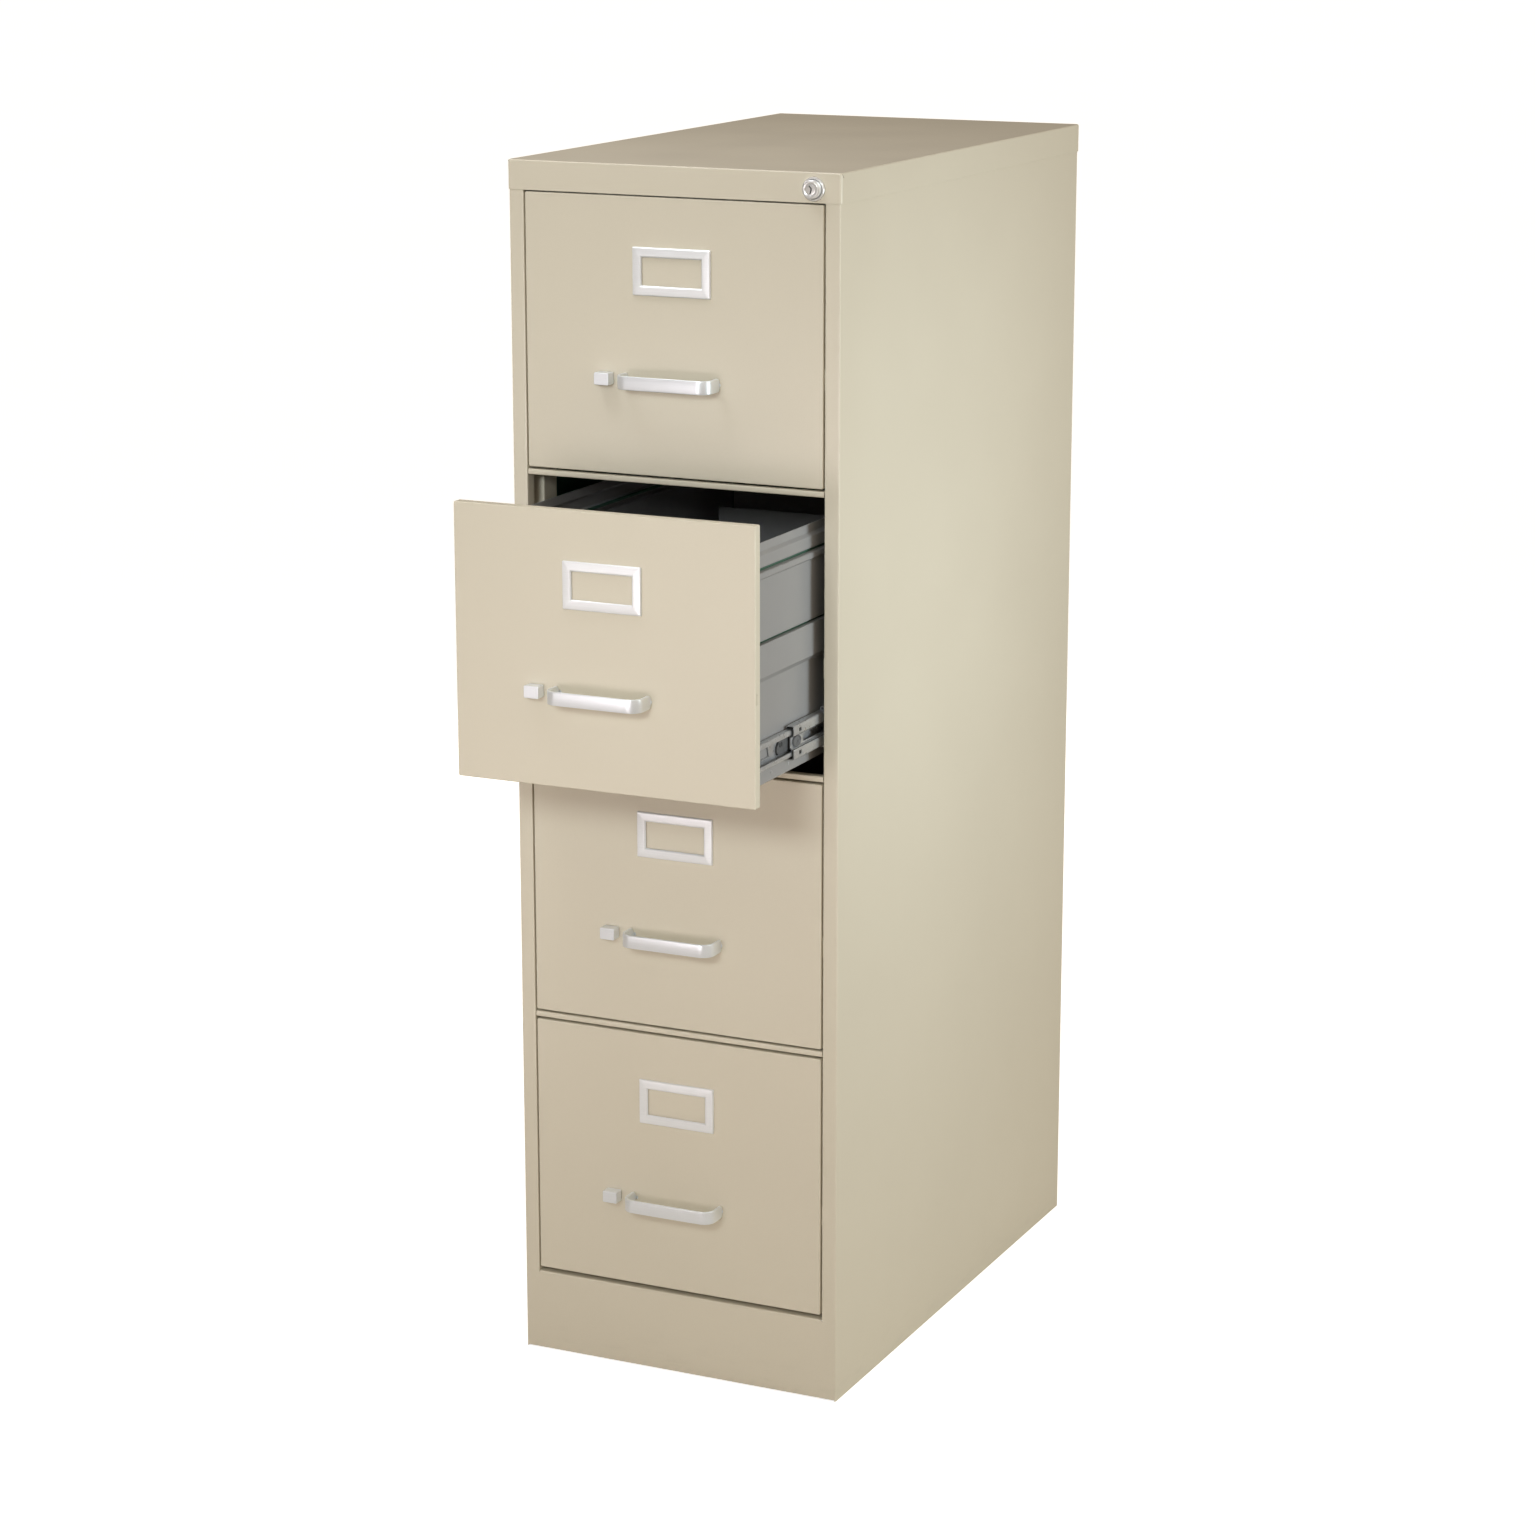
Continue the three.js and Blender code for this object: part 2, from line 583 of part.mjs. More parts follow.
for (let number = 1; number <= DRAWERS; number++) {
  const openBy = number === OPEN_DRAWER ? OPEN_BY : 0;
  const drawer = new THREE.Group();
  drawer.position.set(0, FACE_Y - openBy, bottomOfDrawer(number));
  for (const [piece, solid, finish] of drawerPieces) {
    place(drawer, `drawer_${number}_${piece}`, solid, finish);
  }
  cabinet.add(drawer);

  for (const [member, right] of Object.entries(slideMembers)) {
    const slides = new THREE.Group();
    slides.position.set(0, FACE_Y - openBy * slideShare[member], bottomOfDrawer(number));
    place(slides, `drawer_${number}_right_${member}_slide`, right, zinc);
    place(slides, `drawer_${number}_left_${member}_slide`, mirroredX(right), zinc);
    cabinet.add(slides);
  }
}

export default cabinet;
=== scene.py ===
"""The looks of a four-drawer steel filing cabinet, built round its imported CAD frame.

Lengths are in metres in the frame's own axes: +Z up, the drawers facing -Y, and +X to the right of
someone facing them.
"""
import json
import math

import bmesh
import bpy
from mathutils import Matrix, Vector


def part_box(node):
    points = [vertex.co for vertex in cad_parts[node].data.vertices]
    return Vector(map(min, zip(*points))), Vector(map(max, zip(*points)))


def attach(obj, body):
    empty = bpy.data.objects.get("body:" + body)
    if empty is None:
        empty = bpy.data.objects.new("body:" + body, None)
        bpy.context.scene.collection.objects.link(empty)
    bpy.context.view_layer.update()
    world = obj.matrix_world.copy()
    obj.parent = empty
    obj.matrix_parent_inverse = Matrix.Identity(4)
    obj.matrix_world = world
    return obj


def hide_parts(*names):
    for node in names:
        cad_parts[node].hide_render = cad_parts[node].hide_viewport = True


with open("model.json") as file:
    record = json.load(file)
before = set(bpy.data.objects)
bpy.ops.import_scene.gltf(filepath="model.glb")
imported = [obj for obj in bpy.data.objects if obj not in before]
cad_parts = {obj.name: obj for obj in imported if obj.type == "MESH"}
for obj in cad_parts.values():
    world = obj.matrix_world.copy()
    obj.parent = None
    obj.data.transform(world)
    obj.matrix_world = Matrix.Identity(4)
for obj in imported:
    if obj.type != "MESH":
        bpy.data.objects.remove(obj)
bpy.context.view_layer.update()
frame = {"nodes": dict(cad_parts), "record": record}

MM = 0.001
NODES = frame["nodes"]
DRAWERS = sorted({name.split("_")[1] for name in NODES if name.startswith("drawer_")})
SIDES = {"right": 1, "left": -1}

# ---------------------------------------------------------------- node graphs


def srgb(red, green, blue):
    """A screen colour, 0 to 255 a channel, as linear RGBA."""
    channels = [c / 255 for c in (red, green, blue)]
    return tuple(((c + 0.055) / 1.055) ** 2.4 if c > 0.04045 else c / 12.92 for c in channels) + (1,)


class Finish:
    """One procedural material, with short calls for the nodes that the finishes share."""

    def __init__(self, name, roughness, metallic=0.0, **sockets):
        self.material = bpy.data.materials.new(name)
        self.material.use_nodes = True
        self.tree = self.material.node_tree
        self.shader = self.tree.nodes["Principled BSDF"]
        self.shader.inputs["Roughness"].default_value = roughness
        self.shader.inputs["Metallic"].default_value = metallic
        for socket, value in sockets.items():
            self.shader.inputs[socket.replace("_", " ")].default_value = value
        self.place = self.node("ShaderNodeTexCoord").outputs["Object"]
        self.normal = None

    def node(self, kind, **inputs):
        made = self.tree.nodes.new(kind)
        for name, value in inputs.items():
            self.feed(made.inputs[name.replace("_", " ")], value)
        return made

    def feed(self, socket, value):
        if isinstance(value, bpy.types.NodeSocket):
            self.tree.links.new(value, socket)
        else:
            socket.default_value = value

    def stretched(self, stretch):
        if stretch == (1, 1, 1):
            return self.place
        return self.node("ShaderNodeMapping", Vector=self.place, Scale=stretch).outputs["Vector"]

    def noise(self, scale, detail, stretch=(1, 1, 1), roughness=0.5):
        made = self.node(
            "ShaderNodeTexNoise",
            Vector=self.stretched(stretch),
            Scale=scale,
            Detail=detail,
            Roughness=roughness,
        )
        return made.outputs["Fac"]

    def cells(self, scale):
        made = self.node("ShaderNodeTexVoronoi", Vector=self.place, Scale=scale)
        return made.outputs["Color"]

    def axis(self, name):
        return self.node("ShaderNodeSeparateXYZ", Vector=self.place).outputs[name]

    def maths(self, operation, a, b=0.0):
        made = self.tree.nodes.new("ShaderNodeMath")
        made.operation = operation
        for socket, value in zip(made.inputs, (a, b)):
            self.feed(socket, value)
        return made.outputs["Value"]

    def between(self, value, low, high):
        """1 where a value lies between two others, else 0."""
        return self.times(self.maths("GREATER_THAN", value, low), self.maths("LESS_THAN", value, high))

    def spread(self, value, low, high, to_low=0.0, to_high=1.0):
        made = self.node("ShaderNodeMapRange", Value=value)
        ends = {"From Min": low, "From Max": high, "To Min": to_low, "To Max": to_high}
        for name, number in ends.items():
            made.inputs[name].default_value = number
        return made.outputs["Result"]

    def times(self, a, b):
        return self.maths("MULTIPLY", a, b)

    def blend(self, share, first, second):
        made = self.tree.nodes.new("ShaderNodeMix")
        made.data_type = "RGBA"
        self.feed(made.inputs["Factor"], share)
        colours = [s for s in made.inputs if s.type == "RGBA"]
        self.feed(colours[0], first)
        self.feed(colours[1], second)
        return next(s for s in made.outputs if s.type == "RGBA")

    def bump(self, height, distance):
        made = self.node("ShaderNodeBump", Height=height, Distance=distance, Strength=1.0)
        if self.normal:
            self.feed(made.inputs["Normal"], self.normal)
        self.normal = made.outputs["Normal"]

    def done(self, colour=None, roughness=None):
        if colour is not None:
            self.feed(self.shader.inputs["Base Color"], colour)
        if roughness is not None:
            self.feed(self.shader.inputs["Roughness"], roughness)
        if self.normal:
            self.feed(self.shader.inputs["Normal"], self.normal)
        return self.material


def shade(colour, factor):
    return tuple(channel * factor for channel in colour[:3]) + (1,)


# ---------------------------------------------------------------- finishes

# Noise scales, in features to the metre.
PANEL_WAVES = 2.4
SHADE_DRIFT = 3.2
GLOSS_DRIFT = 9
SCUFFS = 90
ORANGE_PEEL = 620
PAINT_SPECKS = 1400
BRUSH_CLOUDS = 40
BRUSH_LINES = 1500
CHROME_HAZE = 300
CHROME_STREAKS = 900
CHROME_GRAIN = 2200
ZINC_CLOUDS = 160
ZINC_SPANGLE = 420
DRAW_LINES = 1900
PLASTIC_CLOUDS = 90
PLASTIC_PATCHES = 700
PLASTIC_GRAIN = 2600
SCUFF_HEIGHT = 50 * MM  # above the floor, where shoes and mops no longer reach


def enamel(name, colour, scuffed=True, orange_peel=0.02 * MM, waves=0.25 * MM, dark=None):
    """Baked enamel on sheet steel: orange peel, slow waves in the panel, drifting shade and foot scuffs.

    dark takes the finish and gives the share of a point that is painted dark green as shade: the cabinet's
    inside, the back's inner face and the trays' grooves, each through its own mask.
    """
    finish = Finish(name, 0.42, IOR=1.5, Coat_Weight=0.3, Coat_Roughness=0.16)
    drift = finish.spread(finish.noise(SHADE_DRIFT, 3), 0.35, 0.65)
    tint = finish.blend(drift, shade(colour, 0.988), shade(colour, 1.012))
    speck = finish.spread(finish.noise(PAINT_SPECKS, 1), 0.62, 0.75, 0, 0.35)
    tint = finish.blend(speck, tint, shade(colour, 0.88))
    if scuffed:
        low = finish.spread(finish.axis("Z"), 0, SCUFF_HEIGHT, 0.22, 0)
        marks = finish.spread(finish.noise(SCUFFS, 6, (0.3, 0.3, 1.2), 0.7), 0.52, 0.72)
        tint = finish.blend(finish.times(low, marks), tint, shade(colour, 0.7))
    # Painted shade: the mask's share of the enamel is coloured dark green, where light hardly reaches.
    if dark:
        tint = finish.blend(dark(finish), tint, PAINTED_SHADE)
    gloss = finish.spread(finish.noise(GLOSS_DRIFT, 4), 0.3, 0.7, 0.36, 0.5)
    finish.bump(finish.noise(PANEL_WAVES, 1), waves)
    finish.bump(finish.noise(ORANGE_PEEL, 2), orange_peel)
    return finish.done(tint, gloss)


def brushed(name, colour, along, roughness=(0.3, 0.38), depth=0.001 * MM, metallic=0.55):
    """Satin metal with its brush lines along one axis."""
    stretch = tuple(0.012 if axis == along else 1 for axis in "XYZ")
    finish = Finish(name, 0.3, metallic, IOR=1.8)
    lines = finish.noise(BRUSH_LINES, 3, stretch, 0.6)
    tint = finish.blend(finish.spread(lines, 0.3, 0.7), shade(colour, 0.965), shade(colour, 1.02))
    cloud = finish.spread(finish.noise(BRUSH_CLOUDS, 3), 0.35, 0.7, 0, 0.35)
    tint = finish.blend(cloud, tint, shade(colour, 0.95))
    gloss = finish.spread(finish.noise(BRUSH_LINES, 2, stretch), 0.3, 0.7, *roughness)
    finish.bump(lines, depth)
    return finish.done(tint, gloss)


def chrome_plate(name):
    finish = Finish(name, 0.2, 0.6, IOR=2.2)
    colour = srgb(240, 241, 242)
    haze = finish.spread(finish.noise(CHROME_HAZE, 4), 0.4, 0.75, 0, 0.5)
    tint = finish.blend(haze, colour, shade(colour, 0.9))
    gloss = finish.spread(finish.noise(CHROME_STREAKS, 3, (1, 0.2, 1)), 0.35, 0.7, 0.16, 0.26)
    finish.bump(finish.noise(CHROME_GRAIN, 1), 0.002 * MM)
    return finish.done(tint, gloss)


def zinc_plate(name, colour, roughness=(0.26, 0.44)):
    """Rolled steel under zinc: draw lines along the slide and a faint spangle."""
    finish = Finish(name, 0.34, 0.7, IOR=1.8)
    spangle = finish.cells(ZINC_SPANGLE)
    tint = finish.blend(finish.spread(spangle, 0, 1), shade(colour, 0.9), shade(colour, 1.05))
    lines = finish.noise(DRAW_LINES, 3, (1, 0.01, 1), 0.6)
    tint = finish.blend(finish.spread(lines, 0.45, 0.75, 0, 0.5), tint, shade(colour, 0.78))
    finish.bump(lines, 0.008 * MM)
    return finish.done(tint, finish.spread(finish.noise(ZINC_CLOUDS, 3), 0.3, 0.7, *roughness))


def moulded(name, colour):
    """Moulded plastic with a fine spark-eroded grain."""
    finish = Finish(name, 0.5)
    cloud = finish.spread(finish.noise(PLASTIC_CLOUDS, 3), 0.3, 0.7)
    tint = finish.blend(cloud, shade(colour, 0.85), shade(colour, 1.15))
    finish.bump(finish.noise(PLASTIC_GRAIN, 2), 0.015 * MM)
    return finish.done(tint, finish.spread(finish.noise(PLASTIC_PATCHES, 2), 0.3, 0.7, 0.45, 0.6))


PUTTY = srgb(215, 208, 189)
# Dark green painted shade for the unlit inside of the cabinet and the floors of the trays' grooves.
PAINTED_SHADE = srgb(52, 92, 74)
CAP_LOW, CAP_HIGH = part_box("top_panel")
SIDE_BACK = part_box("right_side_panel")[1].y
# Where the painted shade inside the carcass ends, part way into its sheets. The front is behind the posts.
INSIDE = {
    "x": CAP_HIGH.x - 1.9 * MM,
    "front": CAP_LOW.y + 66 * MM,
    "back": SIDE_BACK - 0.6 * MM,
    "top": CAP_HIGH.z - 0.9 * MM,
}
FRONT_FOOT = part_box("drawer_4_front")[0].z
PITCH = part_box("drawer_3_front")[0].z - FRONT_FOOT
# Where the floors of the trays' grooves are painted dark as shade.
TRAY_GROOVES = (161.9 * MM, 165 * MM), (236 * MM, 239.6 * MM)  # above the foot of their drawer's front
GROOVE_FLOOR = 153 * MM, 156.6 * MM  # out from the cabinet's middle plane


def painted_inside_shade(finish):
    """Where the cabinet is painted dark as shade: behind the front posts, within the sides and rear
    flanges, and under the top.
    """
    across = finish.maths("LESS_THAN", finish.maths("ABSOLUTE", finish.axis("X")), INSIDE["x"])
    behind = finish.between(finish.axis("Y"), INSIDE["front"], INSIDE["back"])
    under = finish.maths("LESS_THAN", finish.axis("Z"), INSIDE["top"])
    return finish.times(finish.times(across, behind), under)


def painted_back_shade(finish):
    """The side of the back panel that faces the drawers, painted dark as shade."""
    normal = finish.tree.nodes.new("ShaderNodeTexCoord").outputs["Normal"]
    facing = finish.node("ShaderNodeSeparateXYZ", Vector=normal).outputs["Y"]
    return finish.maths("LESS_THAN", facing, -0.3)


def painted_groove_shade(finish):
    """The floors of the two grooves rolled along each tray's sides, painted dark as shade."""
    up = finish.maths("FLOORED_MODULO", finish.maths("SUBTRACT", finish.axis("Z"), FRONT_FOOT), PITCH)
    bands = [finish.between(up, low, high) for low, high in TRAY_GROOVES]
    across = finish.between(finish.maths("ABSOLUTE", finish.axis("X")), *GROOVE_FLOOR)
    return finish.times(finish.maths("ADD", *bands), across)


FINISHES = {
    "putty_paint": enamel("putty_enamel", PUTTY, dark=painted_inside_shade),
    "grey_paint": enamel("grey_enamel", srgb(147, 147, 147), False, 0.016 * MM, 0.12 * MM, painted_groove_shade),
    "satin_aluminium": brushed("satin_aluminium", srgb(239, 244, 249), "X"),
    "chrome": chrome_plate("chrome_plate"),
    "zinc_steel": zinc_plate("zinc_plated_steel", srgb(196, 199, 202)),
    "dark_steel": zinc_plate("oiled_steel", srgb(96, 99, 102), (0.35, 0.5)),
}
LABEL_METAL = brushed("pale_aluminium", srgb(244, 247, 250), "X", metallic=0.3)
FRONT_ENAMEL = enamel("front_enamel", PUTTY, False)
# The back's enamel paints its inner face dark as shade.
BACK_ENAMEL = enamel("back_enamel", PUTTY, dark=painted_back_shade)
# Black acetal for the ball cages, also used as the painted shade inside the keyway.
BLACK_ACETAL_AND_KEYWAY_SHADE = moulded("black_acetal_and_keyway_shade", srgb(40, 42, 43))
GREY_PLASTIC = moulded("grey_acetal", srgb(98, 100, 102))
LEVER_PLASTIC = moulded("graphite_acetal", srgb(84, 86, 88))
# A darker putty that paints the shade inside the cap's corner slits.
SLIT_SHADE = moulded("slit_shade", srgb(120, 110, 90))
BALL_STEEL = brushed("ball_steel", srgb(215, 216, 218), "Y", (0.08, 0.14), 0.001 * MM)

# ---------------------------------------------------------------- mesh building

SHEET = 1.2 * MM
BODY_OF = {node: body for body, nodes in frame["record"]["behaviour"]["bodies"].items() for node in nodes}
SLOTS = {row["node"]: row["material_slot"] for row in frame["record"]["subparts"]}


def rounded(half_width, half_height, radius, steps=6):
    """Points round a rectangle with rounded corners."""
    points = []
    for quarter, (u, v) in enumerate(((1, -1), (1, 1), (-1, 1), (-1, -1))):
        for step in range(steps + 1):
            turn = math.radians(90) * (quarter - 1 + step / steps)
            across = u * (half_width - radius) + radius * math.cos(turn)
            points.append((across, v * (half_height - radius) + radius * math.sin(turn)))
    return points


def bent(points, radius, steps):
    """A path with each of its corners turned into an arc."""
    path = [Vector(points[0])]
    for before, at, after in zip(points, points[1:], points[2:]):
        corner, back, ahead = Vector(at), Vector(before) - Vector(at), Vector(after) - Vector(at)
        half = back.angle(ahead) / 2
        reach = min(radius / math.tan(half), back.length / 2, ahead.length / 2)
        round_by = reach * math.tan(half)
        centre = corner + (back.normalized() + ahead.normalized()).normalized() * round_by / math.sin(half)
        start, end = (corner + side.normalized() * reach - centre for side in (back, ahead))
        sweep = start.angle_signed(end)
        for step in range(steps + 1):
            turn = -sweep * step / steps
            path.append(centre + Matrix.Rotation(turn, 2) @ start)
    return path + [Vector(points[-1])]


def folded(points, radius, thickness=SHEET, steps=5):
    """The outline of sheet folded along a mid-line path."""
    path = bent(points, radius, steps)
    sides = [], []
    for i, point in enumerate(path):
        before = (point - path[i - 1]).normalized() if i else None
        after = (path[i + 1] - point).normalized() if i + 1 < len(path) else None
        along = ((before or after) + (after or before)).normalized()
        widen = 1 / along.dot(after) if before and after else 1
        across = Vector((-along.y, along.x)) * thickness / 2 * widen
        sides[0].append(point + across)
        sides[1].append(point - across)
    return sides[0] + sides[1][::-1]


def loft(loops, closed=False, capped=True):
    """A skin over loops of as many points each."""
    mesh = bmesh.new()
    rows = [[mesh.verts.new(point) for point in loop] for loop in loops]
    pairs = list(zip(rows, rows[1:])) + ([(rows[-1], rows[0])] if closed else [])
    for a, b in pairs:
        for i in range(len(a)):
            j = (i + 1) % len(a)
            mesh.faces.new((a[i], a[j], b[j], b[i]))
    if capped and not closed:
        mesh.faces.new(rows[0][::-1])
        mesh.faces.new(rows[-1])
    bmesh.ops.remove_doubles(mesh, verts=mesh.verts, dist=0.0005 * MM)
    bmesh.ops.recalc_face_normals(mesh, faces=mesh.faces)
    return mesh


SPREAD = {
    "X": lambda u, v, along: (along, u, v),
    "Y": lambda u, v, along: (u, along, v),
    "Z": lambda u, v, along: (u, v, along),
}


def prism(outline, axis, start, end):
    """An outline drawn out along an axis. The outline's own axes are the other two, in order."""
    return loft([[SPREAD[axis](u, v, along) for u, v in outline] for along in (start, end)])


def turned(profile, steps, closed=False):
    """A profile of (radius, place) points turned about the Y axis."""
    turns = [math.tau * step / steps for step in range(steps)]
    rings = [[(radius * math.cos(t), y, radius * math.sin(t)) for t in turns] for radius, y in profile]
    return loft(rings, closed, capped=False)


def moved(mesh, x=0, y=0, z=0):
    bmesh.ops.translate(mesh, vec=(x, y, z), verts=mesh.verts)
    return mesh


def turned_to_x(mesh):
    """Lays a mesh made about the Y axis along X, its front towards +X."""
    bmesh.ops.rotate(mesh, matrix=Matrix.Rotation(math.radians(90), 3, "Z"), verts=mesh.verts)
    return mesh


def together(*meshes):
    whole = bmesh.new()
    for mesh in meshes:
        part = bpy.data.meshes.new("part")
        mesh.to_mesh(part)
        whole.from_mesh(part)
        mesh.free()
        bpy.data.meshes.remove(part)
    return whole


def bored(mesh, *cutters):
    """A mesh with holes cut through it."""
    objects = []
    for role, source in (("host", mesh), ("tool", together(*cutters))):
        data = bpy.data.meshes.new(role)
        source.to_mesh(data)
        source.free()
        objects.append(bpy.data.objects.new(role, data))
        bpy.context.scene.collection.objects.link(objects[-1])
    host, tool = objects
    holes = host.modifiers.new("holes", "BOOLEAN")
    holes.operation = "DIFFERENCE"
    holes.solver = "EXACT"
    holes.object = tool
    done = bpy.data.meshes.new_from_object(host.evaluated_get(bpy.context.evaluated_depsgraph_get()))
    cut = bmesh.new()
    cut.from_mesh(done)
    for used in objects:
        data = used.data
        bpy.data.objects.remove(used)
        bpy.data.meshes.remove(data)
    bpy.data.meshes.remove(done)
    return cut


def mirrored(mesh):
    twin = mesh.copy()
    bmesh.ops.scale(twin, vec=(-1, 1, 1), verts=twin.verts)
    bmesh.ops.reverse_faces(twin, faces=twin.faces)
    return twin


def finished(mesh, name, smooth=32):
    """The mesh as data, smooth across gentle folds and sharp across the others."""
    data = bpy.data.meshes.new(name)
    mesh.to_mesh(data)
    mesh.free()
    data.polygons.foreach_set("use_smooth", [True] * len(data.polygons))
    data.set_sharp_from_angle(angle=math.radians(smooth))
    return data


def soften(piece, width):
    """Rounds a piece's sharp edges and shades its flat faces flat."""
    bevel = piece.modifiers.new("edge", "BEVEL")
    bevel.limit_method = "ANGLE"
    bevel.angle_limit = math.radians(50)
    bevel.width = width
    bevel.segments = 2
    bevel.use_clamp_overlap = True
    normals = piece.modifiers.new("normals", "WEIGHTED_NORMAL")
    normals.weight = 90


def put(name, data, material, body, at=(0, 0, 0), stands_for=(), edge=0):
    """A piece that rides on a body, in place of the CAD nodes it stands for."""
    piece = bpy.data.objects.new(name, data)
    bpy.context.scene.collection.objects.link(piece)
    piece.location = at
    if not data.materials:
        data.materials.append(material)
    if edge:
        soften(piece, edge)
    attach(piece, body)
    if stands_for:
        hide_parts(*stands_for)
    return piece


# ---------------------------------------------------------------- handles

HANDLE_THICK = 3 * MM
HANDLE_CORNER = 17 * MM
HANDLE_EDGE = 0.9 * MM
HANDLE_FOOT = 4.2 * MM  # radius of the corners at the end of each leg
FOOT_SHARES = 0, 0.06, 0.2, 0.4, 0.65, 1  # of that radius, where the leg's rounded end gets a section
# Round parts at each foot: radius, front and back from the drawer's face, and sides round.
STUD = 2 * MM, 0, 7 * MM, 20
NUT = 4.6 * MM, 1.5 * MM, 4.5 * MM, 6
COLLAR = 2.5 * MM, -0.6 * MM, -0.15 * MM, 32


def disc(radius, front, back, steps):
    """A round, or few-sided, block about the Y axis."""
    return turned([(0, front), (radius, front), (radius, back), (0, back)], steps)


def handle_mesh(lo, hi, face):
    """Flat bar bent into a bow, its feet rounded off, each with a collar, a stud and a nut."""
    half = (hi.x - lo.x) / 2 - HANDLE_THICK / 2
    front = lo.y - face + HANDLE_THICK / 2
    band = (hi.z - lo.z) / 2
    rise = [HANDLE_FOOT * share for share in FOOT_SHARES]
    leg = [(-half, -height) for height in rise]
    bow = bent([leg[-1], (-half, front), (half, front), (half, -rise[-1])], HANDLE_CORNER, 14)
    path = [Vector(p) for p in leg[:-1]] + bow + [Vector((half, -height)) for height in rise[-2::-1]]
    loops = []
    for i, point in enumerate(path):
        before, after = path[max(i - 1, 0)], path[min(i + 1, len(path) - 1)]
        along = (after - before).normalized()
        across = Vector((-along.y, along.x))
        left = HANDLE_FOOT - min(-point.y, HANDLE_FOOT)
        high = band - HANDLE_FOOT + math.sqrt(HANDLE_FOOT**2 - left**2)
        section = rounded(HANDLE_THICK / 2, high, HANDLE_EDGE, 4)
        loops.append([(*(point + across * u), v) for u, v in section])
    fasteners = [moved(disc(*part), x=side) for side in (-half, half) for part in (STUD, NUT, COLLAR)]
    return together(loft(loops), *fasteners)


# ---------------------------------------------------------------- label frames

# The stamped rim's section, from its outer foot over the face to the lip round the window, and back
# along its underside: (in from the outer edge, how far it stands off the drawer).
RIM = [
    (0, 0.3), (0, 1.7), (0.2, 2.05), (1.1, 2.8), (1.5, 2.9), (8.7, 2.9), (9.05, 2.75),
    (10.2, 1.65), (10.4, 1.35), (10.2, 1.05), (9.9, 1.1), (8.6, 2.2), (1.5, 2.2), (0.8, 1.5), (0.8, 0.3),
]


def label_frame_mesh(lo, hi):
    """The stamped rim, drawn round the label's window."""
    half = (hi.x - lo.x) / 2, (hi.z - lo.z) / 2
    loops = []
    for inset, off in RIM:
        corner = max(1 - inset, 0.15) * MM
        outline = rounded(half[0] - inset * MM, half[1] - inset * MM, corner, 4)
        loops.append([(u, -off * MM, v) for u, v in outline])
    return loft(loops, closed=True)


# ---------------------------------------------------------------- the push lock

# Turned sections in mm: (radius, place along the lock from the cap's face, with the front negative).
BEZEL = [(9.7, -2.1), (10.2, -2.75), (11, -2.9), (11.7, -2.6), (12.3, -1.7), (12.5, -0.3),
         (10.7, -0.3), (10.7, 1.5), (13, 1.5), (13, 4.5), (10.7, 4.5), (10.7, 24), (9.7, 24)]
PLUNGER = [(0, 26), (9.2, 26), (9.3, 25.6), (9.3, -8.1), (9.1, -8.8), (8.5, -9.3), (7.9, -9.4), (6.9, -9.3),
           (6.2, -9.1), (5.9, -8.9), (5.75, -8.6), (5.75, 22), (0, 22)]
PLUG = [(0, 21.7), (5.6, 21.7), (5.6, -8.8), (5.4, -9), (4.6, -9.1), (0, -9.1)]

KEYWAY = {"bend": 1.6 * MM, "width": 1.5 * MM, "back": 8 * MM}
KEYWAY_SPINE = (-1.6, 4), (0.7, 1.6), (0.9, 0), (-0.5, -4.2)
KEYWAY_FRONT = -12 * MM  # ahead of the plug's face
# Front of the black prism that paints the shade deep in the keyway.
KEYWAY_SHADE_FRONT = -8.4 * MM


def keyway(front):
    """The bent slot for a warded key, from a front face to deep in the plug."""
    outline = folded([(x * MM, z * MM) for x, z in KEYWAY_SPINE], KEYWAY["bend"], KEYWAY["width"], 4)
    return prism(outline, "Y", front, KEYWAY["back"])


# ---------------------------------------------------------------- slides

SLIDE_FOLD = 1.6 * MM
LIP = 2.8 * MM  # how far the two outer members' lips turn back round the balls
INNER_LIP = 4.8 * MM
RECESS = 4 * MM  # the step in the middle member's web
BUMPER_LENGTH = 1.6  # of the bumper along the slide, over its height
THROUGH_WEBS = 150 * MM, 180 * MM  # a stretch across the cabinet that holds every member of the right slide

# Holes in the members' webs, in mm: places behind the member's front end, and (length, height).
INNER_WINDOW = (15, -5.2), (40, -5.2), (37, 6.4), (20, 6.4)
INNER_SLOTS = range(110, 560, 90), (9, 5)
INNER_HOLES = (155, 335, 515), (4.2, 4.2)
MIDDLE_SQUARES = {"y": 15.5, "z": 12, "size": (6.4, 4), "corner": 0.4}
MIDDLE_SLOTS = (30, 150), (175, 285), (310, 420), (450, 560)
MIDDLE_SLOT_HEIGHT = 9
OUTER_SLOTS = range(60, 560, 110), (16, 6)
OUTER_HOLES = (30, 300, 548), (5, 5)
OUTER_HOLE_Z = 12
END_FLAT = 0.01 * MM  # left between the two arcs of a round end


def hole(y, z, size, corner=None):
    """A cutter for a hole with rounded corners or, by default, round ends. Its measures are in mm."""
    length, height = size
    radius = corner * MM if corner else height / 2 * MM - END_FLAT
    outline = [(u + y * MM, v + z * MM) for u, v in rounded(length * MM / 2, height * MM / 2, radius)]
    return prism(outline, "X", *THROUGH_WEBS)


def member(section, length):
    return prism(folded(section, SLIDE_FOLD), "Y", 0, length)


